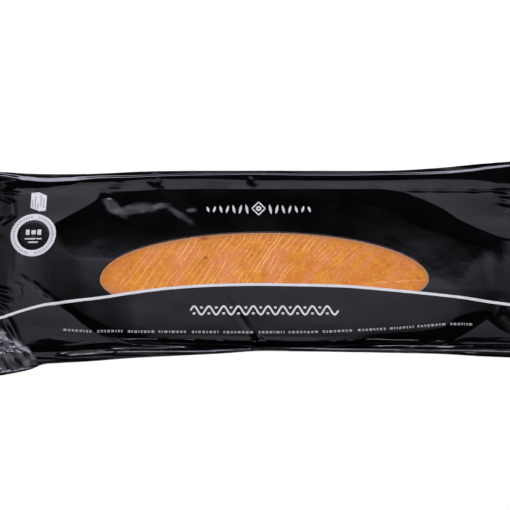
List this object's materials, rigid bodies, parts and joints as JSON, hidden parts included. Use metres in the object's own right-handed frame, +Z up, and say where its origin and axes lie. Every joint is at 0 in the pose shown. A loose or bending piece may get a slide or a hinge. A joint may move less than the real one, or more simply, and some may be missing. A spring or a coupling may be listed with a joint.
{
  "type": "pack of smoked salmon",
  "caption": "Vacuum-packed side of smoked salmon on a flat board, in a black film pouch with a lens-shaped clear window, a creased label and one crumpled corner.",
  "frame": {"origin": "on the flat underside, below the middle of the pack's length and near the middle of its width", "axes": "+X along the pack, +Y to its back edge, +Z up; the printed side faces +Z and reads from -Y"},
  "size_m": [0.62, 0.2517, 0.0167],
  "materials": {
    "black_film": "gloss black laminate film drawn tight by vacuum, with fine creases",
    "salmon_flesh": "moist orange fish flesh with pale fat lines, seen through clear film",
    "label_paper": "satin white label paper"
  },
  "bodies": {
    "root": {"pouch": "black_film", "salmon": "salmon_flesh", "label": "label_paper"}
  },
  "joints": []
}
